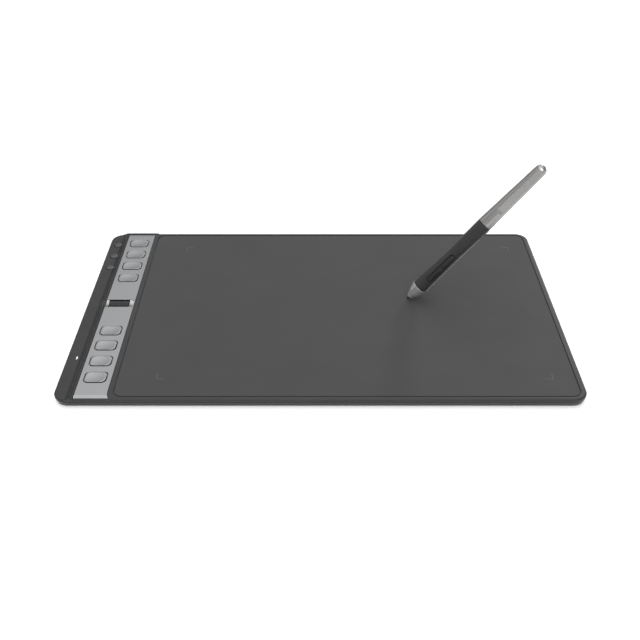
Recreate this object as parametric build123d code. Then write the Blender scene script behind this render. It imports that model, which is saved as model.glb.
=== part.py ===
"""Pen drawing tablet with a control strip, and its pen standing on the drawing surface.

Units are millimetres.  The origin is the centre of the tablet's footprint, on the plane
that its rubber feet stand on.  +X runs to the right along the long side, +Y to the back,
+Z up.  Every physical piece is one STEP file in parts/.
"""
from build123d import *
from math import cos, radians, sin, sqrt
import os

# ---------------------------------------------------------------- driving dimensions
WIDTH = 351.3            # tablet along X
DEPTH = 209.2            # tablet along Y
CORNER_R = 9.5           # plan corner of the housing
FOOT_DROP = 0.8          # rubber feet stand this far below the bottom cover
FLOOR = 1.2              # thickness of the bottom cover's floor
PARTING_Z = 4.5          # top of the bottom cover's outer wall
PARTING_GAP = 0.3        # shadow line between the two covers
STRIP_Z = 6.4            # left edge strip, where the group keys are
DRAW_Z = 7.2             # drawing surface and its frame
PANEL_Z = 8.0            # silver control panel
EDGE_R = 1.1             # rounding of the housing's upper edge
UNDERCUT = 1.1           # the lower side leans in by this much
LOWER_EDGE_R = 0.5
WALL_TOP = 2.6           # top cover's outer wall
LIP = 0.8                # bottom cover's locating lip
LIP_HEIGHT = 0.6
GAP = 0.1                # fit between lip and wall
SKIN = 1.0               # top cover's skin under sheet, panel and strip

RIDGE_X = (-167.2, -161.9, -139.0, -136.9)   # foot, crest, crest, foot of the panel's ridge
PANEL_X = (-161.3, -139.7)                   # silver panel
PANEL_Y = (-103.3, 102.4)
PANEL_T = 0.9
PANEL_TAPE = 0.1
PANEL_SEAT = 0.3         # open line around the panel
PANEL_SLOPE = 2.4        # length of the panel's sloped front edge
PANEL_DROP = 0.55        # the panel's back end curves down by this much
PANEL_CURVE = 3.6        # over this length
PANEL_EDGE = 0.25        # chamfer along the panel's long sides
FLARE_Y = -98.0          # the panel widens in front of this line
FLARE_R = 12.5

KEY_X = -150.6
KEY_PITCH = 17.1
KEY_SIZE = (14.3, 10.0)
KEY_R = 2.7
KEY_GAP = 0.7            # open line around each press key
KEY_PROUD = 0.35
KEY_EDGE_R = 0.4
KEY_DISH_R = 60.0        # finger hollow of a press key
KEY_DISH = 0.32
KEY_TRAVEL = 0.7
KEY_FLANGE = 0.8         # flange reach beyond the key's cap on each side
KEY_SKIRT = 0.6          # the cap reaches this far below the panel
KEY_STEM_R = 1.6
SWITCH_H = 0.5           # button top of a press key's switch, above the board
SWITCH_AIR = 0.3         # air between plunger and switch at the end of the travel
MID_Y = 2.05             # the wheel, the keys and the socket are laid out about this line
FIRST_KEY = 33.9         # from MID_Y to the nearest key's centre

GROUP_X = -168.3
GROUP_R = 3.25
GROUP_GAP = 0.45
GROUP_TOP = 7.2
GROUP_DOME_R = 14.0
GROUP_FLANGE = (3.2, 4.5)    # half width and half length of a group key's flange
GROUP_SKIRT = 0.8
LIGHT_AT = (-168.6, -61.0)   # status light's window
LIGHT_SIZE = (3.0, 0.8)

WHEEL_R = 3.3
WHEEL_Z = 5.6
WHEEL_X = (-158.7, -144.1)
WHEEL_GROOVES = 28
GROOVE_SIZE = (0.26, 0.2)    # width and depth of the roller's grooves
CORE_R = 2.2
MAGNET_R = 1.8
MAGNET_T = 1.2
AXLE_R = 0.6
BORE_CLEARANCE = 0.05
SCOOP_Y = (-2.9, 6.3)    # hollow across the panel, around the wheel
SCOOP_DEPTH = 1.1
SCOOP_R = 2.4            # its plan corner
SCOOP_END = 0.6          # silver left standing at the hollow's right end
CRADLE_FIT = 0.22
CRADLE_BAR_Z = 5.4
CRADLE_BAR = (0.8, 0.4)  # front and back bars of the cradle

SHEET_X = (-135.9, 171.2)
SHEET_Y = 101.0
SHEET_R = 5.5
SHEET_T = 0.5
SHEET_TAPE = 0.1
GROOVE = 0.7             # open groove around the drawing sheet

BOARD_Z = 2.6            # control board's underside
BOARD_T = 1.0
BOARD_X = (-171.8, -138.6)
BOARD_Y = 94.0
SENSOR_X = (-128.0, 164.0)
SENSOR_Y = 92.0
SENSOR_Z = (4.5, 5.4)
SHIELD_Z = (4.2, 4.45)
RIBBON_Y = (-56.0, -44.0)
RIBBON_Z = (4.3, 3.9)
RIBBON_X = (-139.4, -136.5, -130.5, -127.4)
RIBBON_T = 0.24
PLUG_LEN = 3.0           # ribbon connectors along X

SOCKET_Z = 3.7
SOCKET_SIZE = (8.94, 3.16)
SOCKET_WALL = 0.3
SOCKET_X = (-175.0, -167.9)
TONGUE = (6.6, 0.7)      # the socket's tongue, width and thickness
FINGER_R = 60.0          # shallow hollow in the left edge, around the socket
FINGER_DEPTH = 0.75
FINGER_H = 3.9

SCREW_X = (-156.0, -50.0, 57.0, 164.0)
SCREW_Y = 98.0
SCREW_R = 1.0
HEAD_R = 1.9
HEAD_SUNK = 0.15
BOSS_R = 2.0
SEAT_R = 3.0
FOOT_X = (-138.0, 0.0, 138.0)
FOOT_Y = 90.0
FOOT_SIZE = (44.0, 9.0)
FOOT_T = 1.2
RIB_W = 1.2
RIB_YS = (-75, -45, -15, 15, 45, 75)
RIB_XS = (-80, -30, 20, 70, 120)
RIB_REACH = 84.0
POST_YS = (-88, -40, 44, 92)

PEN_TIP = (66.2, 8.6)    # where the nib stands on the sheet
NIB_AIR = 0.1            # air between nib and sheet
PEN_LEN = 138.8
PEN_DIR = (0.6459, 0.0725, 0.7599)   # from the nib to the tail
PEN_ROLL = 72.0          # side switch, turned about the axis from the pen's upper side
NIB_R = 0.95
NIB_END = 24.0
CONE_Z = (2.6, 13.8)
CONE_R = (2.25, 6.0)
CONE_BORE = 1.3
CONE_BULGE = 0.4
CONE_GROOVES = 8
CONE_GROOVE = (0.2, 1.1)     # depth at the cone's ends and width
CONE_TURN = 15.0         # first groove, degrees from the side switch
GRIP_Z = (14.0, 81.5)
GRIP_MID = 47.0
GRIP_R = (5.75, 4.85, 5.45)  # at the foot, at GRIP_MID and at the top
RIB = ((6.0, 13.8), (6.8, 15.6), (7.05, 17.5), (6.9, 24.0), (6.6, 34.0), (6.3, 55.0), (5.85, 80.0))
                             # silver rib, radius and height
RIB_ARC = (54.0, 128.0)      # silver rib beside the grip, degrees from the side switch
GRIP_GAP = 0.6               # degrees left open between grip and rib
SLEEVE_R = 4.45
BORE_R = 3.7
BORE_END = 93.0
TAIL_BORE_R = 2.4
TAIL_BORE_END = 128.0
TAIL_R = (5.6, 4.45)
TAIL_TAPER_END = 132.7
TAIL_DOME = 4.2
FACET_Z = 93.4
FACET_DEPTH = 0.75
FACET_R = 3.0
STRAP_TURN = -22.0       # strap slot, degrees from the side switch
STRAP_Z = 135.8
STRAP_SIZE = (3.2, 1.7)
SWITCH_Z = 36.4
SWITCH_SIZE = (27.0, 3.9)
SWITCH_GAP = 0.38
SWITCH_OUT = 5.4         # the switch's outer radius
SADDLE_R = 6.0
SADDLE = 0.3             # dip between the switch's two press places
DIMPLE_Z = 53.8
DIMPLE_TURN = 13.7
PIVOT_R = 0.4
PIVOT_X = 3.2
PIVOT_LEN = 5.2
LUG = 0.7                # half height of the switch's lug around the pin
PEN_BOARD_X = (1.75, 2.35)
PEN_SWITCH_TOP = 3.0
PRESS_REACH = 9.0        # from the pivot to each of the two switches


# ---------------------------------------------------------------- helpers
def block(x, y, z):
    """Box from three (low, high) pairs."""
    size = (x[1] - x[0], y[1] - y[0], z[1] - z[0])
    return Pos((x[0] + x[1]) / 2, (y[0] + y[1]) / 2, (z[0] + z[1]) / 2) * Box(*size)


def rounded(x, y, z, r):
    """Upright slab with rounded plan corners."""
    face = RectangleRounded(x[1] - x[0], y[1] - y[0], r)
    return Pos((x[0] + x[1]) / 2, (y[0] + y[1]) / 2, z[0]) * extrude(face, amount=z[1] - z[0])


def post(x, y, z, r):
    """Upright cylinder between two heights."""
    return Pos(x, y, (z[0] + z[1]) / 2) * Cylinder(r, z[1] - z[0])


def rod_x(y, z, x, r):
    """Cylinder along X between two places."""
    return Pos((x[0] + x[1]) / 2, y, z) * Rot(0, 90, 0) * Cylinder(r, x[1] - x[0])


def along_y(section, y):
    """Face drawn in X and Z, carried along Y from y[0] to y[1]."""
    return Pos(0, y[0], 0) * extrude(Plane.XZ * section, amount=y[1] - y[0], dir=(0, 1, 0))


def prism_y(points, y):
    """Outline in X and Z, carried along Y."""
    return along_y(make_face(Polyline(*points, close=True)), y)


def turned(points, arc=360.0, start=0.0):
    """Solid of revolution about Z from an outline of radius and height."""
    face = Plane.XZ * make_face(Polyline(*points, close=True))
    return Rot(0, 0, start) * revolve(face, Axis.Z, revolution_arc=arc)


def top_edges(solid, z):
    """Level edges of a solid at one height."""
    return solid.edges().filter_by(lambda e: abs(e.center().Z - z) < 0.01 and e.bounding_box().size.Z < 0.01)


def group(solids):
    """Several solids as one piece."""
    total = solids[0]
    for solid in solids[1:]:
        total += solid
    return total


def grow(pair, by):
    """A (low, high) pair made longer at both ends."""
    return (pair[0] - by, pair[1] + by)


HALF_W = WIDTH / 2
HALF_D = DEPTH / 2
FLOOR_Z = FOOT_DROP + FLOOR
KEY_YS = [MID_Y + side * (FIRST_KEY + i * KEY_PITCH)
          for side, order in ((1, (3, 2, 1, 0)), (-1, (0, 1, 2, 3))) for i in order]
GROUP_YS = KEY_YS[:3]
SCREWS = [(x, side * SCREW_Y) for side in (-1, 1) for x in SCREW_X]
PANEL_BASE = PANEL_Z - PANEL_T
SEAT_Z = PANEL_BASE - PANEL_TAPE
SEAT_UNDER = SEAT_Z - SKIN
SHEET_BASE = DRAW_Z - SHEET_T
DECK_Z = SHEET_BASE - SHEET_TAPE
DECK_UNDER = DECK_Z - SKIN
STRIP_UNDER = STRIP_Z - SKIN
BOARD_TOP = BOARD_Z + BOARD_T


def scoop():
    """Cylinder whose lower side is the hollow across the panel."""
    half = (SCOOP_Y[1] - SCOOP_Y[0]) / 2
    radius = (half * half + SCOOP_DEPTH * SCOOP_DEPTH) / (2 * SCOOP_DEPTH)
    centre_z = PANEL_Z - SCOOP_DEPTH + radius
    return rod_x(sum(SCOOP_Y) / 2, centre_z, (RIDGE_X[0], PANEL_X[1] + PANEL_SEAT), radius)


def scoop_window():
    """Plan opening of the panel around the wheel; it runs out through the left edge."""
    x = (PANEL_X[0] - 3.0, PANEL_X[1] - SCOOP_END)
    window = block(x, SCOOP_Y, (SEAT_UNDER - 0.5, PANEL_Z + 1))
    corner = window.edges().filter_by(Axis.Z).sort_by(lambda e: e.center().X + e.center().Y)[-1]
    return fillet(corner, SCOOP_R)


def key_windows(margin, z, r):
    """Openings around the eight press keys."""
    x = (KEY_X - KEY_SIZE[0] / 2 - margin, KEY_X + KEY_SIZE[0] / 2 + margin)
    reach = KEY_SIZE[1] / 2 + margin
    return group([rounded(x, (y - reach, y + reach), z, r) for y in KEY_YS])


def port_opening():
    """Wall opening of the USB-C socket and the shallow finger hollow around it."""
    room = 0.2
    mouth = SlotOverall(SOCKET_SIZE[0] + 2 * room, SOCKET_SIZE[1] + 2 * room)
    through = Plane((-HALF_W - 1, MID_Y, SOCKET_Z), x_dir=(0, 1, 0), z_dir=(1, 0, 0)) * mouth
    through = extrude(through, amount=WALL_TOP + LIP + GAP + 1.5)
    hollow = Pos(-HALF_W + FINGER_DEPTH - FINGER_R, MID_Y, SOCKET_Z) * Cylinder(FINGER_R, FINGER_H)
    return through + hollow


# ---------------------------------------------------------------- housing
def outline_slab(z0, z1):
    """Housing outline with its rounded upper edge."""
    slab = rounded((-HALF_W, HALF_W), (-HALF_D, HALF_D), (z0, z1), CORNER_R)
    return fillet(top_edges(slab, z1), EDGE_R)


def boss_top(x):
    """Height where a screw boss meets the skin above it."""
    return (SEAT_UNDER if x < RIDGE_X[2] else DECK_UNDER) + 0.2


def ridge_section(low):
    """Section of the ridge: an S-shaped rise on the left and a straight fall on the right."""
    foot, crest, far_crest, far_foot = RIDGE_X
    middle = ((foot + crest) / 2, (STRIP_Z + PANEL_Z) / 2)
    rise = TangentArc((foot, STRIP_Z), middle, tangent=(1, 0))
    rounding = TangentArc((crest, PANEL_Z), middle, tangent=(-1, 0))
    rest = Polyline((crest, PANEL_Z), (far_crest, PANEL_Z), (far_foot, DRAW_Z), (far_foot, low),
                    (foot, low), (foot, STRIP_Z))
    return make_face(rise + rounding + rest)


def make_top_cover():
    """Frame around the drawing sheet, ridge with the panel's seat, and the left edge strip."""
    low = PARTING_Z + PARTING_GAP
    above = PANEL_Z + 1
    left = outline_slab(low, STRIP_Z) & block((-HALF_W - 1, RIDGE_X[0]), (-HALF_D, HALF_D), (0, above))
    frame = outline_slab(low, DRAW_Z) & block((RIDGE_X[3], HALF_W + 1), (-HALF_D, HALF_D), (0, above))
    ridge = outline_slab(low, PANEL_Z) & along_y(ridge_section(low), (-HALF_D, HALF_D))
    seat = Pos(0, 0, SEAT_Z) * extrude(panel_plan(PANEL_SEAT), amount=3)
    front = block(grow(PANEL_X, PANEL_SEAT), (-HALF_D - 1, -HALF_D + 8), (0, above))
    ridge = ridge - seat
    ridge = (ridge - front) + (ridge & front & outline_slab(low, SEAT_Z))
    cover = left + frame + ridge

    inner = rounded(grow((-HALF_W, HALF_W), -WALL_TOP), grow((-HALF_D, HALF_D), -WALL_TOP),
                    (low - 1, PANEL_Z), CORNER_R - WALL_TOP)
    hollow = [(-HALF_W, low - 1), (-HALF_W, STRIP_UNDER), (RIDGE_X[0] + 1, STRIP_UNDER),
              (RIDGE_X[1], SEAT_UNDER), (RIDGE_X[2], SEAT_UNDER), (RIDGE_X[3], DECK_UNDER),
              (HALF_W, DECK_UNDER), (HALF_W, low - 1)]
    cover -= inner & prism_y(hollow, (-HALF_D, HALF_D))
    cover += group([post(x, y, (FLOOR_Z + 1.3, boss_top(x)), BOSS_R) for x, y in SCREWS])
    cover -= group([post(x, y, (0, DECK_UNDER - 0.3), SCREW_R) for x, y in SCREWS])

    cover -= rounded(grow(SHEET_X, GROOVE), grow((-SHEET_Y, SHEET_Y), GROOVE),
                     (DECK_Z, DRAW_Z + 1), SHEET_R + GROOVE)
    cover -= key_windows(KEY_FLANGE + KEY_GAP, (SEAT_UNDER - 1, above), KEY_R + 1)
    cover -= group([post(GROUP_X, y, (STRIP_UNDER - 1, above), GROUP_R + GROUP_GAP) for y in GROUP_YS])
    cover -= light_slot(0.05, (STRIP_UNDER - 1, STRIP_Z + 1))
    cover -= scoop()
    cover -= block((PANEL_X[0] - PANEL_SEAT, PANEL_X[1] - SCOOP_END), SCOOP_Y, (SEAT_UNDER - 1, above))
    return cover - port_opening()


def make_bottom_cover():
    """Tray with its leaning sides, ribs, posts, screw seats and the feet's recesses."""
    lower = PARTING_Z - FOOT_DROP
    face = RectangleRounded(WIDTH, DEPTH, CORNER_R)
    lean = UNDERCUT / lower
    body = Pos(0, 0, PARTING_Z) * extrude(face, amount=lower, dir=(0, 0, -1), taper=degrees_of(lean))
    body = fillet(top_edges(body, FOOT_DROP), LOWER_EDGE_R)
    inset = WALL_TOP + GAP + LIP
    tray = rounded(grow((-HALF_W, HALF_W), -inset), grow((-HALF_D, HALF_D), -inset),
                   (FLOOR_Z, PARTING_Z + 1), CORNER_R - inset)
    body -= tray
    lip_out = WALL_TOP + GAP
    lip = rounded(grow((-HALF_W, HALF_W), -lip_out), grow((-HALF_D, HALF_D), -lip_out),
                  (PARTING_Z, PARTING_Z + LIP_HEIGHT), CORNER_R - lip_out)
    body += lip - tray

    rib_z = (FLOOR_Z, SHIELD_Z[0])
    ribs = [block(grow(SENSOR_X, -6), grow((y, y), RIB_W / 2), rib_z) for y in RIB_YS]
    ribs += [block(grow((x, x), RIB_W / 2), (-RIB_REACH, RIB_REACH), rib_z) for x in RIB_XS]
    body += group(ribs)
    body += group([post(x, y, (FLOOR_Z - 0.1, BOARD_Z), BOSS_R)
                   for x in (BOARD_X[0] + 5, BOARD_X[1] - 4) for y in POST_YS])
    body += group([post(x, y, (FLOOR_Z - 0.1, FLOOR_Z + 1.2), SEAT_R) for x, y in SCREWS])
    body -= group([post(x, y, (0, FLOOR_Z), HEAD_R + 0.2) + post(x, y, (0, 5), SCREW_R + 0.1)
                   for x, y in SCREWS])
    body -= feet(0.15, (0, FOOT_T))
    body -= block(grow(WHEEL_X, 0.6), grow((MID_Y, MID_Y), 3), (FLOOR_Z - 0.3, 4))
    return body - port_opening()


def degrees_of(slope):
    """Angle of a slope given as rise over run."""
    return Vector(1, slope, 0).get_angle(Vector(1, 0, 0))


def feet(by, z):
    """The six pads, or their recesses when grown."""
    pads = []
    for x in FOOT_X:
        for y in (-FOOT_Y, FOOT_Y):
            pad = SlotOverall(FOOT_SIZE[0] + 2 * by, FOOT_SIZE[1] + 2 * by)
            pads.append(Pos(x, y, z[0]) * extrude(pad, amount=z[1] - z[0]))
    return group(pads)


def make_rubber_feet():
    pads = feet(0, (0, FOOT_T))
    return fillet(top_edges(pads, 0), 0.3)


def make_case_screws():
    """Pan-head screws that hold the covers together from below."""
    under = FOOT_DROP + HEAD_SUNK
    recess_z = (0, FOOT_DROP + 0.5)
    screws = []
    for x, y in SCREWS:
        head = post(x, y, (under, FLOOR_Z), HEAD_R)
        head = fillet(top_edges(head, under), 0.3)
        slot = block(grow((x, x), 1.1), grow((y, y), 0.2), recess_z)
        cross = block(grow((x, x), 0.2), grow((y, y), 1.1), recess_z)
        shank = post(x, y, (FLOOR_Z - 0.1, DECK_UNDER - 0.5), SCREW_R)
        screws.append(head + shank - slot - cross)
    return group(screws)


# ---------------------------------------------------------------- drawing area
def make_work_surface():
    sheet = rounded(SHEET_X, (-SHEET_Y, SHEET_Y), (SHEET_BASE, DRAW_Z), SHEET_R)
    return chamfer(top_edges(sheet, DRAW_Z), 0.15)


def make_surface_tape():
    return rounded(grow(SHEET_X, -2), grow((-SHEET_Y, SHEET_Y), -2), (DECK_Z, SHEET_BASE), SHEET_R - 2)


def make_sensor_board():
    return rounded(SENSOR_X, (-SENSOR_Y, SENSOR_Y), SENSOR_Z, 3)


def make_shield_sheet():
    return rounded((SENSOR_X[0] + 6, SENSOR_X[1] - 2), grow((-SENSOR_Y, SENSOR_Y), -2), SHIELD_Z, 2)


# ---------------------------------------------------------------- control strip
def panel_plan(by):
    """Plan of the silver panel, grown sideways; its front right corner flares out."""
    x0, x1 = grow(PANEL_X, by)
    front = PANEL_Y[0] - (3 if by else 0)
    drop = FLARE_Y - PANEL_Y[0]
    flare = FLARE_R - sqrt(FLARE_R ** 2 - drop ** 2)
    left = Polyline((x1, FLARE_Y), (x1, PANEL_Y[1] + by), (x0, PANEL_Y[1] + by), (x0, front),
                    (x1 + flare, front))
    turn = RadiusArc((x1 + flare, PANEL_Y[0]), (x1, FLARE_Y), FLARE_R)
    if turn.center().X > x1 + flare / 2:
        turn = RadiusArc((x1 + flare, PANEL_Y[0]), (x1, FLARE_Y), -FLARE_R)
    edges = left + turn
    if by:
        edges += Line((x1 + flare, front), (x1 + flare, PANEL_Y[0]))
    return make_face(edges)


def panel_side():
    """The panel seen from its side: a sloped front edge and a back end that curves down."""
    front, back = PANEL_Y
    straight = Polyline((back, PANEL_Z - PANEL_DROP), (back, PANEL_BASE), (front, PANEL_BASE),
                        (front + PANEL_SLOPE, PANEL_Z), (back - PANEL_CURVE, PANEL_Z))
    curve = TangentArc((back - PANEL_CURVE, PANEL_Z), (back, PANEL_Z - PANEL_DROP), tangent=(1, 0))
    return make_face(straight + curve)


def make_control_panel():
    """Silver panel with openings for the press keys and the wheel."""
    plate = Pos(0, 0, PANEL_BASE) * extrude(panel_plan(0), amount=PANEL_T)
    sides = [e for e in top_edges(plate, PANEL_Z) if e.length > DEPTH / 2]
    plate = chamfer(sides, PANEL_EDGE)
    body = extrude(Plane.YZ * panel_side(), amount=40, dir=(1, 0, 0))
    plate = plate & (Pos(PANEL_X[0] - 5, 0, 0) * body)
    plate -= key_windows(KEY_GAP, (PANEL_BASE - 1, PANEL_Z + 1), KEY_R + KEY_GAP)
    rims = [e for e in top_edges(plate, PANEL_Z)
            if abs(e.center().X - KEY_X) < KEY_SIZE[0] / 2 + KEY_GAP + 1 and e.length < KEY_SIZE[0] + 1]
    plate = chamfer(rims, 0.15)
    return plate - scoop_window()


def make_panel_tape():
    x = grow(PANEL_X, -0.6)
    tape = block(x, grow(PANEL_Y, -1.5), (SEAT_Z, PANEL_BASE))
    tape -= key_windows(KEY_FLANGE + KEY_GAP, (SEAT_Z - 1, PANEL_BASE + 1), KEY_R + 1)
    return tape - block((x[0] - 1, x[1] + 1), grow(SCOOP_Y, 0.6), (SEAT_Z - 1, PANEL_Z))


def make_press_key(y):
    """Dished cap with a flange below the panel and a plunger over its switch."""
    w, d = KEY_SIZE
    cap_low = PANEL_BASE - KEY_SKIRT
    top = PANEL_Z + KEY_PROUD
    x = (KEY_X - w / 2, KEY_X + w / 2)
    cap = rounded(x, grow((y, y), d / 2), (cap_low, top), KEY_R)
    cap = fillet(top_edges(cap, top), KEY_EDGE_R)
    cap -= Pos(KEY_X, y, top - KEY_DISH + KEY_DISH_R) * Sphere(KEY_DISH_R)
    flange = rounded(grow(x, KEY_FLANGE), grow((y, y), d / 2 + KEY_FLANGE),
                     (cap_low - 0.3, cap_low + 0.25), KEY_R + KEY_FLANGE)
    plunger = post(KEY_X, y, (BOARD_TOP + SWITCH_H + SWITCH_AIR + KEY_TRAVEL, cap_low), KEY_STEM_R)
    return cap + flange + plunger


def make_group_key(y):
    """Small round key with a domed top."""
    low = STRIP_UNDER - GROUP_SKIRT
    stem = post(GROUP_X, y, (low, GROUP_TOP), GROUP_R)
    stem = stem & (Pos(GROUP_X, y, GROUP_TOP + 0.02 - GROUP_DOME_R) * Sphere(GROUP_DOME_R))
    rim = stem.edges().filter_by(lambda e: e.center().Z > STRIP_Z and e.bounding_box().size.Z < 0.2)
    stem = fillet(rim, 0.25)
    wide, long = GROUP_FLANGE
    return stem + block(grow((GROUP_X, GROUP_X), wide), grow((y, y), long), (low, low + 0.5))


def light_slot(by, z):
    """Window of the status light, grown sideways."""
    window = Rot(0, 0, 90) * SlotOverall(LIGHT_SIZE[0] + 2 * by, LIGHT_SIZE[1] + 2 * by)
    return Pos(LIGHT_AT[0], LIGHT_AT[1], z[0]) * extrude(window, amount=z[1] - z[0])


def make_status_light():
    """Light pipe with a wide foot under the strip."""
    low = BOARD_TOP + 0.8
    x, y = LIGHT_AT
    foot = block(grow((x, x), 1.5), grow((y, y), 2.6), (low, STRIP_UNDER))
    return light_slot(0, (low, STRIP_Z + 0.03)) + foot


# ---------------------------------------------------------------- scroll wheel
def make_wheel_cradle():
    """Silver cradle: two hollowed end blocks with the axle's bearings, joined by two bars."""
    y = grow(SCOOP_Y, -CRADLE_FIT)
    left = (PANEL_X[0] + 0.1, WHEEL_X[0] - 0.5)
    right = (WHEEL_X[1] + 0.5, PANEL_X[1] - SCOOP_END - CRADLE_FIT)
    blocks = block(left, y, (BOARD_TOP, PANEL_Z))
    end = block(right, y, (BOARD_TOP, PANEL_Z))
    corner = end.edges().filter_by(Axis.Z).sort_by(lambda e: e.center().X + e.center().Y)[-1]
    blocks += fillet(corner, SCOOP_R - CRADLE_FIT)
    front, back = CRADLE_BAR
    bars = block((left[0], right[1]), (y[0], y[0] + front), (BOARD_TOP, CRADLE_BAR_Z))
    bars += block((left[0], right[1] - SCOOP_R), (y[1] - back, y[1]), (BOARD_TOP, CRADLE_BAR_Z))
    cradle = blocks + bars - scoop()
    reach = (left[0] - 1, right[1] - 0.6)
    return cradle - rod_x(MID_Y, WHEEL_Z, reach, AXLE_R + BORE_CLEARANCE)


def make_wheel_tyre():
    """Rubber roller with fine grooves along its length."""
    tyre = rod_x(MID_Y, WHEEL_Z, WHEEL_X, WHEEL_R)
    tyre = chamfer(tyre.edges().filter_by(GeomType.CIRCLE), 0.3)
    tyre -= rod_x(MID_Y, WHEEL_Z, grow(WHEEL_X, 1), CORE_R)
    width, depth = GROOVE_SIZE
    cut = block(grow(WHEEL_X, 1), (-width / 2, width / 2), (WHEEL_R - depth, WHEEL_R + 1))
    grooves = [Pos(0, MID_Y, WHEEL_Z) * Rot(360.0 * i / WHEEL_GROOVES, 0, 0) * cut
               for i in range(WHEEL_GROOVES)]
    return tyre - group(grooves)


def make_wheel_core():
    """Hub of the roller, recessed at its right end for the magnet."""
    core = rod_x(MID_Y, WHEEL_Z, WHEEL_X, CORE_R)
    core -= rod_x(MID_Y, WHEEL_Z, grow(WHEEL_X, 1), AXLE_R)
    return core - rod_x(MID_Y, WHEEL_Z, (WHEEL_X[1] - MAGNET_T, WHEEL_X[1] + 1), MAGNET_R)


def make_wheel_magnet():
    """Ring magnet in the core's end, read by the sensor on the board."""
    ring = rod_x(MID_Y, WHEEL_Z, (WHEEL_X[1] - MAGNET_T, WHEEL_X[1] - 0.05), MAGNET_R)
    return ring - rod_x(MID_Y, WHEEL_Z, grow(WHEEL_X, 1), AXLE_R)


def make_wheel_axle():
    return rod_x(MID_Y, WHEEL_Z, (PANEL_X[0] + 0.4, PANEL_X[1] - 1.6), AXLE_R)


def make_wheel_sensor():
    """Hall sensor on the control board, beside the magnet."""
    return block((-140.3, -138.9), grow((MID_Y, MID_Y), 1.5), (BOARD_TOP, BOARD_TOP + 0.8))


def make_detent_spring():
    """Leaf on the cradle's front bar that clicks along the roller."""
    y = SCOOP_Y[0] + CRADLE_FIT + CRADLE_BAR[0]
    return block((-154.0, -149.0), (y, y + 0.2), (BOARD_TOP, CRADLE_BAR_Z))


# ---------------------------------------------------------------- electronics
def make_control_board():
    board = rounded(BOARD_X, (-BOARD_Y, BOARD_Y), (BOARD_Z, BOARD_TOP), 2)
    board -= block((BOARD_X[0] - 1, SOCKET_X[1] + 0.1), (MID_Y - 4.7, MID_Y + 4.7), (0, 9))
    window_x = (WHEEL_X[0] - 0.5, WHEEL_X[1] + 0.5)
    return board - block(window_x, grow(SCOOP_Y, -1.1), (0, 9))


def make_control_chips():
    """Controller, its crystal, memory, regulator, passives and the light's diode."""
    chips = [((-156.0, 19.0), (7.0, 7.0), 0.9), ((-147.0, 20.5), (3.2, 2.5), 0.8),
             ((-156.5, -16.0), (5.0, 4.0), 0.9), ((-147.0, -14.0), (3.0, 3.0), 1.0),
             ((-164.0, 14.0), (4.0, 3.0), 1.0), ((-164.5, -10.0), (2.0, 1.2), 0.6),
             ((-164.5, -14.0), (2.0, 1.2), 0.6), ((-168.6, -61.0), (2.0, 1.2), 0.5)]
    solids = []
    for (x, y), (w, d), h in chips:
        solids.append(block((x - w / 2, x + w / 2), (y - d / 2, y + d / 2), (BOARD_TOP, BOARD_TOP + h)))
    return group(solids)


def make_key_switches():
    """Flat switches under the press keys, each with a round button."""
    half, button_r, base_h = 2.6, 1.5, 0.3
    switches = []
    for y in KEY_YS:
        base = block(grow((KEY_X, KEY_X), half), grow((y, y), half), (BOARD_TOP, BOARD_TOP + base_h))
        switches.append(base + post(KEY_X, y, (BOARD_TOP, BOARD_TOP + SWITCH_H), button_r))
    return group(switches)


def make_group_key_switches():
    return group([post(GROUP_X, y, (BOARD_TOP, BOARD_TOP + 0.3), 1.8) for y in GROUP_YS])


def make_usb_shell():
    """Steel shell of the USB-C socket, closed at its inner end."""
    plane = Plane((SOCKET_X[0], MID_Y, SOCKET_Z), x_dir=(0, 1, 0), z_dir=(1, 0, 0))
    length = SOCKET_X[1] - SOCKET_X[0]
    outer = extrude(plane * SlotOverall(*SOCKET_SIZE), amount=length)
    inner = SlotOverall(SOCKET_SIZE[0] - 2 * SOCKET_WALL, SOCKET_SIZE[1] - 2 * SOCKET_WALL)
    return outer - extrude(plane * inner, amount=length - 0.4)


def make_usb_tongue():
    """Tongue in the middle of the socket that carries its contacts."""
    width, thick = TONGUE
    return block((SOCKET_X[0] + 0.9, SOCKET_X[1] - 0.4), grow((MID_Y, MID_Y), width / 2),
                 grow((SOCKET_Z, SOCKET_Z), thick / 2))


def make_ribbon_connectors():
    """The two connectors at the ribbon cable's ends."""
    y = grow(RIBBON_Y, 1)
    board_end = block((RIBBON_X[0] - PLUG_LEN, RIBBON_X[0]), y, (BOARD_TOP, RIBBON_Z[0] + 0.45))
    sensor_end = block((RIBBON_X[3], RIBBON_X[3] + PLUG_LEN), y, (RIBBON_Z[1] - 0.4, SENSOR_Z[0]))
    return board_end + sensor_end


def make_ribbon_cable():
    """Flat cable from the control board to the sensor board."""
    t = RIBBON_T / 2
    (z0, z1), (x0, x1, x2, x3) = RIBBON_Z, RIBBON_X
    ribbon = [(x0, z0 - t), (x1, z0 - t), (x2, z1 - t), (x3, z1 - t),
              (x3, z1 + t), (x2, z1 + t), (x1, z0 + t), (x0, z0 + t)]
    return prism_y(ribbon, RIBBON_Y)


# ---------------------------------------------------------------- pen, in its own frame
# The pen is made along +Z with its nib at the origin; +X is the side switch's direction.
def radius_at(z, radii):
    """Radius at a height, between three radii at the grip's foot, middle and top."""
    if z < GRIP_MID:
        share = (z - GRIP_Z[0]) / (GRIP_MID - GRIP_Z[0])
        return radii[0] + (radii[1] - radii[0]) * share
    share = (z - GRIP_MID) / (GRIP_Z[1] - GRIP_MID)
    return radii[1] + (radii[2] - radii[1]) * share


def make_pen_nib():
    """Replaceable nib with a round point and a long shank."""
    point_r = 0.42
    nib = turned([(0, 0.25), (0.38, 0.25), (NIB_R, 2.6), (NIB_R, NIB_END), (0, NIB_END)])
    return nib + Pos(0, 0, point_r) * Sphere(point_r)


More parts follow.
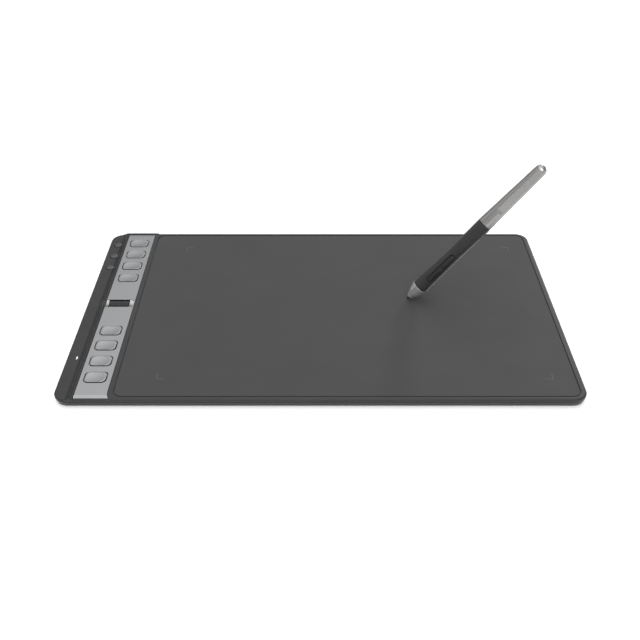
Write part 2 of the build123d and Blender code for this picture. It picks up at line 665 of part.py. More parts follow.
def make_pen_nib_holder():
    return post(0, 0, (22.0, 27.0), 1.6) - post(0, 0, (21, NIB_END), NIB_R)


def make_pen_nose_cone():
    """Silver nose with shallow grooves along it, a collar and a spigot into the barrel."""
    (z0, z1), (r0, r1) = CONE_Z, CONE_R
    spigot = z1 + 4
    inside_r = 2.9
    bulge = (r0 + r1) / 2 + CONE_BULGE
    outer = [(0, z0), (r0 - 0.2, z0), (r0, z0 + 0.2), (bulge, (z0 + z1) / 2), (r1, z1 - 0.3), (r1 - 0.2, z1),
             (BORE_R, z1), (BORE_R, spigot), (0, spigot)]
    cone = turned(outer)
    cone -= post(0, 0, (0, spigot + 1), CONE_BORE)
    cone -= turned([(0, 8.0), (CONE_BORE, 8.0), (inside_r, z1), (inside_r, spigot + 1), (0, spigot + 1)])
    lean = degrees_of((r1 - r0) / (z1 - z0))
    depth, wide = CONE_GROOVE
    reach = 2.0
    cut = Pos(r0 - depth + reach / 2, 0, z0) * Rot(0, lean, 0) * Box(reach, wide, 3 * (z1 - z0))
    return cone - group([Rot(0, 0, CONE_TURN + 360.0 * i / CONE_GROOVES) * cut for i in range(CONE_GROOVES)])


def make_pen_barrel():
    """Silver barrel: sleeve and rib under the grip, tapered tail with a facet and a strap slot."""
    steps = 8
    tail_z = PEN_LEN - TAIL_DOME
    tail_r = TAIL_R[1] - 0.12
    outline = [(0, CONE_Z[1]), (SLEEVE_R, CONE_Z[1]), (SLEEVE_R, GRIP_Z[1]), (TAIL_R[0] - 0.15, GRIP_Z[1]),
               (TAIL_R[0], GRIP_Z[1] + 0.15), (TAIL_R[1], TAIL_TAPER_END), (tail_r, tail_z)]
    for i in range(1, steps + 1):
        turn = radians(90 * i / steps)
        outline.append((tail_r * cos(turn), tail_z + TAIL_DOME * sin(turn)))
    barrel = turned(outline)
    root = BORE_R + 0.3
    end = GRIP_Z[1] + 0.2
    rib = [(root, CONE_Z[1]), *RIB, (TAIL_R[0] - 0.15, end), (root, end)]
    barrel += turned(rib, RIB_ARC[1] - RIB_ARC[0], RIB_ARC[0])
    barrel -= post(0, 0, (0, BORE_END), BORE_R)
    barrel -= post(0, 0, (0, TAIL_BORE_END), TAIL_BORE_R)
    barrel -= facet()
    slot = Plane.YZ * SlotOverall(*STRAP_SIZE)
    barrel -= Rot(0, 0, STRAP_TURN) * Pos(-10, 0, STRAP_Z) * extrude(slot, amount=20, dir=(1, 0, 0))
    barrel -= switch_window(SWITCH_GAP, 1.0)
    return barrel - pivot(PIVOT_R)


def facet():
    """Cutter of the flat that runs from FACET_Z to the tail, on the side switch's side."""
    long = TAIL_TAPER_END - GRIP_Z[1]
    taper = degrees_of((TAIL_R[0] - TAIL_R[1]) / long)
    share = (FACET_Z - GRIP_Z[1]) / long
    flat_r = TAIL_R[0] + (TAIL_R[1] - TAIL_R[0]) * share - FACET_DEPTH
    knife = Pos(5, 0, 30) * Box(10, 20, 60)
    knife = fillet(knife.edges().filter_by(Axis.Y).sort_by(lambda e: e.center().X + e.center().Z)[0], FACET_R)
    return Pos(flat_r, 0, FACET_Z) * Rot(0, -taper, 0) * knife


def switch_window(by, x0):
    """Outline of the side switch, carried outwards from x0."""
    plan = Plane.YZ * (Rot(0, 0, 90) * SlotOverall(SWITCH_SIZE[0] + 2 * by, SWITCH_SIZE[1] + 2 * by))
    return Pos(x0, 0, SWITCH_Z) * extrude(plan, amount=8, dir=(1, 0, 0))


def pivot(r):
    """Cross pin of the side switch."""
    return Pos(PIVOT_X, 0, SWITCH_Z) * Rot(90, 0, 0) * Cylinder(r, PIVOT_LEN)


def make_pen_grip():
    """Rubber grip that wraps the sleeve and leaves the silver rib open."""
    z0, z1 = GRIP_Z
    foot_r, top_r = GRIP_R[0], GRIP_R[2]
    outline = [(SLEEVE_R, z0), (foot_r - 0.3, z0), (foot_r, z0 + 0.3), (GRIP_R[1], GRIP_MID),
               (top_r, z1 - 0.3), (top_r - 0.2, z1 - 0.1), (SLEEVE_R, z1 - 0.1)]
    arc = 360 - (RIB_ARC[1] - RIB_ARC[0]) - 2 * GRIP_GAP
    grip = turned(outline, arc, RIB_ARC[1] + GRIP_GAP)
    grip -= switch_window(SWITCH_GAP, BORE_R)
    place = Rot(0, 0, DIMPLE_TURN) * Pos(radius_at(DIMPLE_Z, GRIP_R), 0, DIMPLE_Z)
    return grip - place * Rot(0, 90, 0) * Cylinder(0.5, 0.7)


def make_pen_side_switch():
    """Rocker with two press places, one each side of its pivot."""
    body = switch_window(0, PIVOT_X + LUG) & post(0, 0, (0, 100), SWITCH_OUT)
    body -= Pos(SWITCH_OUT + SADDLE_R - SADDLE, 0, SWITCH_Z) * Rot(90, 0, 0) * Cylinder(SADDLE_R, 20)
    body += block((PIVOT_X - LUG, PIVOT_X + 1.0), (-1.3, 1.3), grow((SWITCH_Z, SWITCH_Z), 1.2))
    return body - pivot(PIVOT_R + BORE_CLEARANCE)


def make_pen_switch_pin():
    return pivot(PIVOT_R)


def make_pen_ferrite():
    return post(0, 0, (13.5, 21.5), 1.9) - post(0, 0, (12, 23), 1.15)


def make_pen_coil():
    return post(0, 0, (14.2, 20.8), 2.7) - post(0, 0, (12, 23), 1.9)


def make_pen_pressure_sensor():
    return post(0, 0, (28.0, 33.0), 1.65)


def make_pen_board():
    return block(PEN_BOARD_X, (-2.6, 2.6), (24.0, 92.0))


def make_pen_switches():
    """The two small switches under the rocker's press places."""
    x = (PEN_BOARD_X[1], PEN_SWITCH_TOP)
    places = (SWITCH_Z - PRESS_REACH, SWITCH_Z + PRESS_REACH)
    return group([block(x, (-1.3, 1.3), grow((z, z), 1.5)) for z in places])


def pen_place():
    """Location that stands the pen on the sheet, leaning to its tail's side."""
    axis = Vector(*PEN_DIR).normalized()
    upper = (Vector(0, 0, 1) - axis * axis.Z).normalized()
    side = axis.cross(upper)
    facing = upper * cos(radians(PEN_ROLL)) + side * sin(radians(PEN_ROLL))
    tip = (PEN_TIP[0], PEN_TIP[1], DRAW_Z + NIB_AIR)
    return Plane(origin=tip, x_dir=facing, z_dir=axis).location


# ---------------------------------------------------------------- writing the pieces
TABLET = {
    "top_cover": make_top_cover, "bottom_cover": make_bottom_cover,
    "rubber_feet": make_rubber_feet, "case_screws": make_case_screws,
    "work_surface": make_work_surface, "surface_tape": make_surface_tape,
    "sensor_board": make_sensor_board, "shield_sheet": make_shield_sheet,
    "control_panel": make_control_panel, "panel_tape": make_panel_tape,
    "status_light": make_status_light, "wheel_cradle": make_wheel_cradle,
    "wheel_tyre": make_wheel_tyre, "wheel_core": make_wheel_core,
    "wheel_magnet": make_wheel_magnet, "wheel_axle": make_wheel_axle,
    "wheel_sensor": make_wheel_sensor, "detent_spring": make_detent_spring,
    "control_board": make_control_board, "control_chips": make_control_chips,
    "key_switches": make_key_switches, "group_key_switches": make_group_key_switches,
    "usb_shell": make_usb_shell, "usb_tongue": make_usb_tongue,
    "ribbon_connectors": make_ribbon_connectors, "ribbon_cable": make_ribbon_cable,
}
PEN = {
    "pen_barrel": make_pen_barrel, "pen_grip": make_pen_grip, "pen_nose_cone": make_pen_nose_cone,
    "pen_nib": make_pen_nib, "pen_nib_holder": make_pen_nib_holder,
    "pen_side_switch": make_pen_side_switch, "pen_switch_pin": make_pen_switch_pin,
    "pen_ferrite": make_pen_ferrite, "pen_coil": make_pen_coil,
    "pen_pressure_sensor": make_pen_pressure_sensor, "pen_board": make_pen_board,
    "pen_switches": make_pen_switches,
}


def write(name, shape):
    export_step(shape, f"parts/{name}.step")


os.makedirs("parts", exist_ok=True)
for name, make in TABLET.items():
    write(name, make())
for i, key_y in enumerate(KEY_YS):
    write(f"press_key_{i + 1}", make_press_key(key_y))
for i, key_y in enumerate(GROUP_YS):
    write(f"group_key_{i + 1}", make_group_key(key_y))
place = pen_place()
for name, make in PEN.items():
    write(name, place * make())

pivot_point = place * Pos(PIVOT_X, 0, SWITCH_Z)
pivot_axis = (place * Pos(PIVOT_X, 1, SWITCH_Z)).position - pivot_point.position
print("side switch pivot", tuple(round(v, 3) for v in pivot_point.position), "axis",
      tuple(round(v, 5) for v in pivot_axis))
print("pen axis", tuple(round(v, 5) for v in Vector(*PEN_DIR).normalized()))
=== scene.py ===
"""Looks of the pen drawing tablet: materials, printed and fine pieces, floor, light and camera.

Every length is in metres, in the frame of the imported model.  +X is right, +Y back, +Z up.
"""
import math

import bmesh
import bpy
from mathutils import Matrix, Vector


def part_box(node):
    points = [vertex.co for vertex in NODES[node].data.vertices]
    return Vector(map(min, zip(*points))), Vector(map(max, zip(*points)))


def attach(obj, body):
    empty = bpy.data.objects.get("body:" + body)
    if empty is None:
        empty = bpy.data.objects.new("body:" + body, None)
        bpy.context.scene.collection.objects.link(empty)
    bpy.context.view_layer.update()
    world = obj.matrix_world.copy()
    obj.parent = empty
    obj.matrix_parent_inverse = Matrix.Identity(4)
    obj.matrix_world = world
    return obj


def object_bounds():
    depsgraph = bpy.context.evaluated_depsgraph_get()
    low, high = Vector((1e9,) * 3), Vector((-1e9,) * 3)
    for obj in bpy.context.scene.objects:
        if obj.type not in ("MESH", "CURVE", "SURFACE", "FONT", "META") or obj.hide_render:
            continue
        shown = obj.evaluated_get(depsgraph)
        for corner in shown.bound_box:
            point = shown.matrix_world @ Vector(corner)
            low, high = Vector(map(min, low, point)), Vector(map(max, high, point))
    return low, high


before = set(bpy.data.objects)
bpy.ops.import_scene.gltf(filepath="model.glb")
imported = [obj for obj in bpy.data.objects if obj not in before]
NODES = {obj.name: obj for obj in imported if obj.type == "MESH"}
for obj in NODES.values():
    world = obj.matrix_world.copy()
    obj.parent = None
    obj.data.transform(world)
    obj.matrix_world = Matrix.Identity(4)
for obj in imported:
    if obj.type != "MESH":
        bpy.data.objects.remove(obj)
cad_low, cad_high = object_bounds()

MM = 0.001

DOME_RISE = (0.22, 0.85)     # sine of elevation where the dome starts and ends brightening
DOME_LEVEL = (0.12, 1.85)    # strength at the horizon and overhead
SIDE_FALL = (0.05, 0.7)      # sideways reach where the dome starts and ends falling off
SIDE_LEVEL = 0.4             # share of the dome's strength that is left at the sides
FRONT_LIGHT = (0.0, -0.87, 0.5)   # towards the soft light in front of the tablet
FRONT_EDGE = (0.55, 0.98)    # cosine from its centre where it starts and ends brightening
FRONT_LEVEL = 0.45
LEFT_LIGHT = (-0.95, 0.25, 0.05)   # towards the low soft light on the left
LEFT_EDGE = (0.78, 0.97)
LEFT_LEVEL = 0.6
KEY_TOWARDS = (1.249, 2.477, 1.0)    # towards the distant key lamp, behind on the right
KEY_STRENGTH = 0.45
KEY_SPREAD = 9.0             # its angular size in degrees
FLOOR_GLOW = 0.3
FLOOR_HALF = 12.0
FLOOR_DROP = 0.02 * MM       # the floor lies this far below the rubber feet

LENS = 46.28                 # mm, on a sensor 36 mm wide
SENSOR = 36.0
SHIFT_X = 0.0045
EYE = (-0.00209, -0.50134, 0.3699)
LOOK_DOWN = 36.9             # degrees below the horizon

ACTIVE = (266.7 * MM, 166.7 * MM)    # area that the corner marks outline
ACTIVE_CENTRE = (159.1 * MM, -0.85 * MM)    # from the sheet's left edge and its middle line
MARK_LEG = 5.4 * MM
MARK_LINE = 0.5 * MM
MARK_SKIN = 0.02 * MM        # height of the print above the sheet
MARK_ROOT = 0.01 * MM        # and its depth in the sheet


# ---------------------------------------------------------------- node helpers
class Paint:
    """A material under construction: its tree, its shader and short calls for the usual nodes."""

    def __init__(self, name, base, roughness, metallic=0.0, specular=0.5):
        self.material = bpy.data.materials.new(name)
        self.material.use_nodes = True
        self.tree = self.material.node_tree
        self.shader = self.tree.nodes["Principled BSDF"]
        self.base = base
        self.shader.inputs["Base Color"].default_value = (*base, 1)
        self.shader.inputs["Roughness"].default_value = roughness
        self.shader.inputs["Metallic"].default_value = metallic
        self.shader.inputs["Specular IOR Level"].default_value = specular
        coordinates = self.add("ShaderNodeTexCoord")
        self.place = coordinates.outputs["Object"]
        self.facing = coordinates.outputs["Normal"]

    def add(self, kind, **values):
        """New node; keywords set its inputs, with spaces written as underscores."""
        node = self.tree.nodes.new(kind)
        for key, value in values.items():
            socket = node.inputs[key.replace("_", " ")]
            if isinstance(value, bpy.types.NodeSocket):
                self.tree.links.new(value, socket)
            else:
                socket.default_value = value
        return node

    def set(self, name, value):
        self.shader.inputs[name].default_value = value

    def drive(self, name, output):
        self.tree.links.new(output, self.shader.inputs[name])

    def noise(self, size, detail=2.0, stretch=(1, 1, 1), rough=0.5):
        """Noise whose features are about size metres across, 0 to 1."""
        moved = self.add("ShaderNodeMapping", Vector=self.place, Scale=stretch)
        return self.add("ShaderNodeTexNoise", Vector=moved.outputs[0], Scale=1 / size, Detail=detail,
                        Roughness=rough).outputs["Fac"]

    def cells(self, size, output="Color"):
        """Random value per cell of about size metres."""
        return self.add("ShaderNodeTexVoronoi", Vector=self.place, Scale=1 / size).outputs[output]

    def span(self, value, low, high, start=0.0, end=1.0):
        """value from low..high to start..end, held at the ends."""
        node = self.add("ShaderNodeMapRange", Value=value, From_Min=low, From_Max=high,
                        To_Min=start, To_Max=end)
        return node.outputs["Result"]

    def maths(self, operation, *values):
        node = self.tree.nodes.new("ShaderNodeMath")
        node.operation = operation
        for socket, value in zip(node.inputs, values):
            if isinstance(value, bpy.types.NodeSocket):
                self.tree.links.new(value, socket)
            else:
                socket.default_value = value
        return node.outputs[0]

    def blend(self, share, first, second):
        """Colour between two colours or colour outputs."""
        node = self.tree.nodes.new("ShaderNodeMix")
        node.data_type = "RGBA"
        sockets = [s for s in node.inputs if s.enabled]
        for socket, value in zip(sockets, (share, first, second)):
            if isinstance(value, bpy.types.NodeSocket):
                self.tree.links.new(value, socket)
            elif isinstance(value, tuple):
                socket.default_value = (*value, 1)
            else:
                socket.default_value = value
        return next(s for s in node.outputs if s.enabled)

    def shade(self, factor):
        return tuple(c * factor for c in self.base)

    def bump(self, height, distance, under=None, strength=1.0):
        node = self.add("ShaderNodeBump", Height=height, Distance=distance, Strength=strength)
        if under is not None:
            self.tree.links.new(under, node.inputs["Normal"])
        return node.outputs[0]

    def soft_edges(self, radius):
        """Normal that rounds sharp edges over radius metres."""
        node = self.add("ShaderNodeBevel", Radius=radius)
        node.samples = 4
        return node.outputs[0]

    def edge_mask(self, radius):
        """1 on outer and inner edges, 0 on flat ground."""
        rounded = self.soft_edges(radius)
        flat = self.add("ShaderNodeNewGeometry").outputs["Normal"]
        node = self.tree.nodes.new("ShaderNodeVectorMath")
        node.operation = "DOT_PRODUCT"
        self.tree.links.new(rounded, node.inputs[0])
        self.tree.links.new(flat, node.inputs[1])
        return self.span(node.outputs["Value"], 0.995, 0.85)


# ---------------------------------------------------------------- materials
def moulded(name, base, roughness, grain=0.25 * MM, depth=0.012 * MM, edge=0.12, specular=0.4):
    """Moulded plastic with a fine spark-eroded grain, faint mottling and polished edges."""
    p = Paint(name, base, roughness, specular=specular)
    mottle = p.noise(22 * MM, 3)
    fine = p.noise(grain, 2, rough=0.6)
    tone = p.blend(p.span(mottle, 0.3, 0.7), p.shade(0.95), p.shade(1.05))
    tone = p.blend(p.span(fine, 0.35, 0.65), p.blend(0.06, tone, p.shade(0.3)), tone)
    worn = p.edge_mask(0.35 * MM)
    tone = p.blend(p.maths("MULTIPLY", worn, edge), tone, p.shade(1.6))
    p.drive("Base Color", tone)
    rough = p.span(p.noise(9 * MM, 4), 0.3, 0.7, roughness - 0.05, roughness + 0.05)
    p.drive("Roughness", p.maths("SUBTRACT", rough, p.maths("MULTIPLY", worn, edge)))
    p.drive("Normal", p.bump(fine, depth, p.soft_edges(0.15 * MM)))
    return p.material


def paper_film():
    """Matte drawing film with a fine tooth and faint patches of slightly smoother film."""
    p = Paint("draw_film", (0.061, 0.061, 0.0615), 0.66, specular=0.3)
    tooth = p.noise(0.32 * MM, 3, rough=0.7)
    broad = p.noise(60 * MM, 2)
    tone = p.blend(p.span(broad, 0.3, 0.7), p.shade(0.97), p.shade(1.03))
    tone = p.blend(p.span(tooth, 0.25, 0.75, 0.0, 1.0), p.blend(0.12, tone, p.shade(0.4)), tone)
    p.drive("Base Color", tone)
    handled = p.noise(35 * MM, 4, stretch=(1, 1.6, 1))
    p.drive("Roughness", p.span(handled, 0.35, 0.7, 0.64, 0.69))
    p.drive("Normal", p.bump(tooth, 0.018 * MM, p.soft_edges(0.1 * MM)))
    return p.material


def silver(name, base, roughness, metallic, flake=0.11 * MM, clear=0.0, bare_sides_painted_shade=False):
    """Silver paint: metal flakes that catch the light one by one under a satin lacquer;
    when asked, the upright sides are near black: bare dark plastic and painted shade in the gaps."""
    p = Paint(name, base, roughness, metallic=metallic)
    flakes = p.cells(flake)
    value = p.add("ShaderNodeSeparateColor", Color=flakes).outputs[0]
    tone = p.blend(value, p.shade(0.88), p.shade(1.1))
    tone = p.blend(p.span(p.noise(18 * MM, 3), 0.3, 0.7, 0.0, 0.35), tone, p.shade(0.93))
    if bare_sides_painted_shade:
        # painted shade: upright sides near black, partly bare plastic and partly the shade in the
        # gaps around keys and windows
        upwards = p.add("ShaderNodeSeparateXYZ", Vector=p.facing).outputs["Z"]
        tone = p.blend(p.span(upwards, 0.15, 0.4, 1.0, 0.0), tone, (0.01, 0.01, 0.01))
    p.drive("Base Color", tone)
    smear = p.noise(7 * MM, 4)
    p.drive("Roughness", p.span(smear, 0.3, 0.7, roughness - 0.025, roughness + 0.035))
    p.drive("Normal", p.bump(value, 0.003 * MM, p.soft_edges(0.12 * MM)))
    if clear:
        p.set("Coat Weight", clear)
        p.set("Coat Roughness", 0.12)
    return p.material


def rubber(name, base, roughness, grain=0.3 * MM, dust=0.12):
    """Soft rubber: fine matt grain, a dusty bloom and a low sheen."""
    p = Paint(name, base, roughness, specular=0.3)
    fine = p.noise(grain, 2, rough=0.65)
    bloom = p.span(p.noise(6 * MM, 4), 0.4, 0.75, 0.0, dust)
    tone = p.blend(p.span(fine, 0.3, 0.7), p.shade(0.85), p.shade(1.1))
    p.drive("Base Color", p.blend(bloom, tone, tuple(c + 0.06 for c in base)))
    p.drive("Roughness", p.span(fine, 0.3, 0.7, roughness + 0.06, roughness - 0.06))
    p.drive("Normal", p.bump(fine, 0.02 * MM, p.soft_edges(0.15 * MM)))
    p.set("Sheen Weight", 0.08)
    p.set("Sheen Roughness", 0.5)
    return p.material


def metal(name, base, roughness, along=(1, 12, 12), scratch=0.4 * MM):
    """Drawn or turned metal with fine lines and a little stain."""
    p = Paint(name, base, roughness, metallic=1.0)
    lines = p.noise(scratch, 4, stretch=along, rough=0.7)
    stain = p.noise(4 * MM, 3)
    p.drive("Base Color", p.blend(p.span(stain, 0.35, 0.75, 0.0, 0.3), p.base, p.shade(0.7)))
    p.drive("Roughness", p.span(lines, 0.3, 0.7, roughness - 0.07, roughness + 0.1))
    p.drive("Normal", p.bump(lines, 0.006 * MM, p.soft_edges(0.08 * MM)))
    return p.material


def circuit_board():
    """Glass-fibre board under green mask: copper tracks show as lighter, raised lines."""
    p = Paint("board_mask", (0.012, 0.085, 0.035), 0.38, specular=0.5)
    axes = p.add("ShaderNodeSeparateXYZ", Vector=p.place)
    pitch = 2.54 * MM

    def tracks(axis):
        phase = p.maths("FRACT", p.maths("DIVIDE", axes.outputs[axis], pitch))
        near = p.maths("ABSOLUTE", p.maths("SUBTRACT", phase, 0.5))
        return p.span(near, 0.06, 0.09, 1.0, 0.0)

    routed = p.span(p.noise(14 * MM, 0), 0.49, 0.5)
    copper = p.maths("ADD", p.maths("MULTIPLY", tracks("X"), routed),
                     p.maths("MULTIPLY", tracks("Y"), p.maths("SUBTRACT", 1.0, routed)))
    weave = p.noise(0.6 * MM, 1, stretch=(1, 4, 1))
    ground = p.blend(weave, p.shade(0.85), p.shade(1.1))
    p.drive("Base Color", p.blend(copper, ground, (0.03, 0.16, 0.06)))
    p.drive("Roughness", p.span(p.noise(5 * MM, 3), 0.3, 0.7, 0.32, 0.45))
    p.drive("Normal", p.bump(copper, 0.03 * MM))
    return p.material


def light_guide():
    """Milky light guide, lit white from below."""
    p = Paint("light_guide", (0.85, 0.87, 0.9), 0.35)
    cloud = p.noise(0.8 * MM, 2)
    p.drive("Base Color", p.blend(cloud, p.shade(0.94), p.shade(1.04)))
    p.set("Emission Color", (0.92, 0.96, 1.0, 1))
    p.drive("Emission Strength", p.span(cloud, 0.2, 0.8, 0.3, 0.5))
    p.drive("Normal", p.bump(cloud, 0.01 * MM))
    return p.material


def wound_copper():
    """Enamelled wire."""
    p = Paint("enamelled_wire", (0.62, 0.24, 0.09), 0.28, metallic=0.9)
    p.drive("Base Color", p.blend(p.noise(1.5 * MM, 3), p.shade(0.8), p.shade(1.15)))
    p.drive("Roughness", p.span(p.noise(0.4 * MM, 2), 0.3, 0.7, 0.22, 0.36))
    return p.material


def foam_tape(name, base):
    p = Paint(name, base, 0.8, specular=0.2)
    pores = p.cells(0.35 * MM, "Distance")
    p.drive("Base Color", p.blend(p.span(pores, 0.0, 0.6), p.shade(0.7), p.shade(1.1)))
    p.drive("Normal", p.bump(pores, 0.05 * MM))
    return p.material


def ink():
    """Light grey print with slightly broken cover."""
    p = Paint("mark_ink", (0.11, 0.11, 0.112), 0.6, specular=0.3)
    cover = p.noise(0.3 * MM, 2)
    p.drive("Base Color", p.blend(p.span(cover, 0.35, 0.65), p.shade(0.8), p.shade(1.1)))
    p.drive("Normal", p.bump(cover, 0.004 * MM))
    return p.material


def pale_floor():
    """Matt white light table, evenly lit from below, with the faintest mottling."""
    p = Paint("studio_floor", (0.93, 0.93, 0.93), 0.9, specular=0.1)
    p.drive("Base Color", p.blend(p.noise(0.8, 2), p.shade(0.99), p.shade(1.01)))
    p.set("Emission Color", (1, 1, 1, 1))
    p.set("Emission Strength", FLOOR_GLOW)
    return p.material


SHELL = moulded("shell_grain", (0.026, 0.026, 0.027), 0.38)
KEY_DARK = moulded("key_satin", (0.068, 0.068, 0.069), 0.34, grain=0.2 * MM, depth=0.006 * MM)
ROCKER = moulded("rocker_satin", (0.02, 0.02, 0.021), 0.36, grain=0.2 * MM, depth=0.006 * MM)
NIB = moulded("nib_resin", (0.02, 0.02, 0.021), 0.35, depth=0.004 * MM)
CORE = moulded("core_resin", (0.12, 0.12, 0.125), 0.45, depth=0.006 * MM)
CHIP = moulded("chip_epoxy", (0.02, 0.02, 0.021), 0.45, grain=0.12 * MM, depth=0.006 * MM)
FERRITE = moulded("sintered_ferrite", (0.035, 0.03, 0.028), 0.6, grain=0.15 * MM)
CONNECTOR = moulded("connector_resin", (0.55, 0.5, 0.4), 0.45, grain=0.15 * MM)
PANEL_SILVER = silver("panel_silver", (0.34, 0.345, 0.355), 0.32, 0.75, bare_sides_painted_shade=True)
# painted highlight: a lighter copy of the panel silver that brightens the wheel cradle ends
CRADLE_HIGHLIT_SILVER = silver("cradle_highlit_silver", (0.43, 0.435, 0.445), 0.3, 0.8)
PEN_SILVER = silver("pen_silver", (0.345, 0.34, 0.336), 0.27, 0.6, flake=0.08 * MM, clear=0.15)
# painted highlight: a lighter, less metallic copy of the pen silver that brightens the nose cone
NOSE_HIGHLIT_SILVER = silver("nose_highlit_silver", (0.47, 0.465, 0.46), 0.28, 0.35, flake=0.08 * MM)
ROLLER = rubber("roller_rubber", (0.05, 0.05, 0.051), 0.6, dust=0.05)
GRIP = rubber("grip_rubber", (0.036, 0.036, 0.037), 0.62, dust=0.06)
FOOT = rubber("foot_rubber", (0.03, 0.03, 0.031), 0.75, dust=0.25)
STEEL = metal("steel", (0.56, 0.56, 0.57), 0.3)
BOARD = circuit_board()

FINISHES = {
    "top_cover": SHELL, "bottom_cover": SHELL, "rubber_feet": FOOT, "case_screws": STEEL,
    "work_surface": paper_film(), "surface_tape": foam_tape("surface_foam", (0.5, 0.5, 0.48)),
    "sensor_board": BOARD, "shield_sheet": STEEL,
    "control_panel": PANEL_SILVER, "panel_tape": foam_tape("panel_foam", (0.08, 0.08, 0.08)),
    "status_light": light_guide(), "wheel_cradle": CRADLE_HIGHLIT_SILVER, "wheel_tyre": ROLLER,
    "wheel_core": CORE, "wheel_magnet": FERRITE, "wheel_axle": STEEL, "wheel_sensor": CHIP,
    "detent_spring": STEEL, "control_board": BOARD, "control_chips": CHIP,
    "key_switches": STEEL, "group_key_switches": STEEL, "usb_shell": STEEL, "usb_tongue": CHIP,
    "ribbon_connectors": CONNECTOR, "ribbon_cable": CONNECTOR,
    "pen_barrel": PEN_SILVER, "pen_nose_cone": NOSE_HIGHLIT_SILVER, "pen_grip": GRIP, "pen_nib": NIB,
    "pen_nib_holder": CORE, "pen_side_switch": ROCKER, "pen_switch_pin": STEEL,
    "pen_ferrite": FERRITE, "pen_coil": wound_copper(), "pen_pressure_sensor": STEEL,
    "pen_board": BOARD, "pen_switches": STEEL,
}
for name in NODES:
    if name.startswith("press_key_"):
        FINISHES[name] = PANEL_SILVER
    if name.startswith("group_key_") and name != "group_key_switches":
        FINISHES[name] = KEY_DARK
for name, node in NODES.items():
    node.data.materials.clear()
    node.data.materials.append(FINISHES[name])


# ---------------------------------------------------------------- printed corner marks
def mesh_object(name, bm, material, body):
    """The finished bmesh as a piece that rides on a body and takes its finish from a slot."""
    mesh = bpy.data.meshes.new(name)
    bmesh.ops.recalc_face_normals(bm, faces=bm.faces)
    bm.to_mesh(mesh)
    bm.free()
    piece = bpy.data.objects.new(name, mesh)
    bpy.context.scene.collection.objects.link(piece)
    mesh.materials.append(material)
    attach(piece, body)
    return piece


def prism(bm, outline, z0, z1):
    """Closed prism over an outline of (x, y) points."""
    low = [bm.verts.new((x, y, z0)) for x, y in outline]
    high = [bm.verts.new((x, y, z1)) for x, y in outline]
    bm.faces.new(low[::-1])
    bm.faces.new(high)
    for i in range(len(outline)):
        j = (i + 1) % len(outline)
        bm.faces.new((low[i], low[j], high[j], high[i]))


def corner_marks():
    """Four printed angles at the corners of the active area."""
    low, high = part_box("work_surface")
    centre = Vector((low.x + ACTIVE_CENTRE[0], (low.y + high.y) / 2 + ACTIVE_CENTRE[1]))
    leg, line = MARK_LEG, MARK_LINE
    bm = bmesh.new()
    for sx in (-1, 1):
        for sy in (-1, 1):
            x, y = centre.x + sx * ACTIVE[0] / 2, centre.y + sy * ACTIVE[1] / 2
            angle = [(0, 0), (leg, 0), (leg, line), (line, line), (line, leg), (0, leg)]
            outline = [(x - sx * a, y - sy * b) for a, b in angle]
            if sx * sy < 0:
                outline.reverse()
            prism(bm, outline, high.z - MARK_ROOT, high.z + MARK_SKIN)
    mesh_object("corner_marks", bm, ink(), "tablet")


corner_marks()


# ---------------------------------------------------------------- floor, light, camera
def studio():
    """Pale floor, soft sky and one distant key lamp."""
    mesh = bpy.data.meshes.new("floor")
    corners = [(-1, -1), (1, -1), (1, 1), (-1, 1)]
    mesh.from_pydata([(x * FLOOR_HALF, y * FLOOR_HALF, cad_low.z - FLOOR_DROP) for x, y in corners],
                     [], [(0, 1, 2, 3)])
    floor = bpy.data.objects.new("floor", mesh)
    bpy.context.scene.collection.objects.link(floor)
    mesh.materials.append(pale_floor())

    world = bpy.data.worlds.new("studio")
    bpy.context.scene.world = world
    studio_sky(world)
    sun_from("rear_key", KEY_TOWARDS, KEY_STRENGTH, KEY_SPREAD)


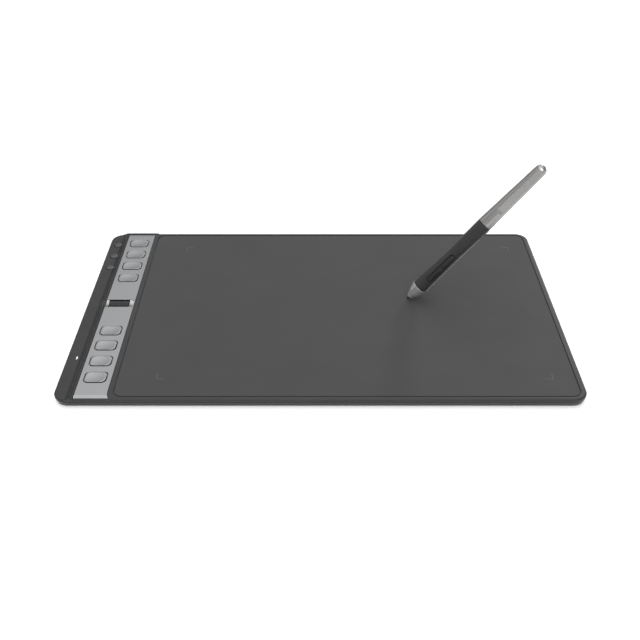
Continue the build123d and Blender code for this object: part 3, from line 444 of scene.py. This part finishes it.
def studio_sky(world):
    """Soft dome: bright overhead, dim at the horizon and the sides, with a soft light in front
    and a low one on the left; the camera itself sees plain white."""
    world.use_nodes = True
    tree = world.node_tree
    direction = tree.nodes.new("ShaderNodeTexCoord").outputs["Generated"]
    axes = tree.nodes.new("ShaderNodeSeparateXYZ")
    tree.links.new(direction, axes.inputs[0])

    def span(value, ends, levels):
        node = tree.nodes.new("ShaderNodeMapRange")
        node.interpolation_type = "SMOOTHSTEP"
        tree.links.new(value, node.inputs["Value"])
        for name, number in zip(("From Min", "From Max", "To Min", "To Max"), (*ends, *levels)):
            node.inputs[name].default_value = number
        return node.outputs["Result"]

    def maths(operation, *values):
        node = tree.nodes.new("ShaderNodeMath")
        node.operation = operation
        for socket, value in zip(node.inputs, values):
            tree.links.new(value, socket)
        return node.outputs[0]

    rise = span(axes.outputs["Z"], DOME_RISE, DOME_LEVEL)
    sides = span(maths("ABSOLUTE", axes.outputs["X"]), SIDE_FALL, (1.0, SIDE_LEVEL))

    def soft_light(centre, edge, strength):
        towards = tree.nodes.new("ShaderNodeVectorMath")
        towards.operation = "DOT_PRODUCT"
        tree.links.new(direction, towards.inputs[0])
        towards.inputs[1].default_value = Vector(centre).normalized()
        return span(towards.outputs["Value"], edge, (0.0, strength))

    lights = maths("ADD", soft_light(FRONT_LIGHT, FRONT_EDGE, FRONT_LEVEL),
                   soft_light(LEFT_LIGHT, LEFT_EDGE, LEFT_LEVEL))
    seen = tree.nodes.new("ShaderNodeLightPath").outputs["Is Camera Ray"]
    level = tree.nodes.new("ShaderNodeMix")
    tree.links.new(seen, level.inputs["Factor"])
    tree.links.new(maths("ADD", maths("MULTIPLY", rise, sides), lights), level.inputs["A"])
    level.inputs["B"].default_value = 1.0
    tree.links.new(level.outputs["Result"], tree.nodes["Background"].inputs["Strength"])
    tree.nodes["Background"].inputs["Color"].default_value = (1, 1, 1, 1)


def sun_from(name, towards, strength, spread):
    """Distant lamp in the direction towards, with an angular size of spread degrees."""
    lamp = bpy.data.lights.new(name, "SUN")
    lamp.energy = strength
    lamp.angle = math.radians(spread)
    stand = bpy.data.objects.new(name, lamp)
    stand.rotation_euler = Vector(towards).to_track_quat("Z", "Y").to_euler()
    bpy.context.scene.collection.objects.link(stand)


def camera():
    """Level camera in front of the tablet, looking down at it."""
    lens = bpy.data.cameras.new("camera")
    lens.sensor_width = SENSOR
    lens.lens = LENS
    lens.shift_x = SHIFT_X
    lens.clip_start, lens.clip_end = 0.01, 100.0
    eye = bpy.data.objects.new("camera", lens)
    eye.location = EYE
    eye.rotation_euler = (math.radians(90 - LOOK_DOWN), 0, 0)
    bpy.context.scene.collection.objects.link(eye)
    bpy.context.scene.camera = eye


studio()
camera()
bpy.context.scene.view_settings.view_transform = "Standard"
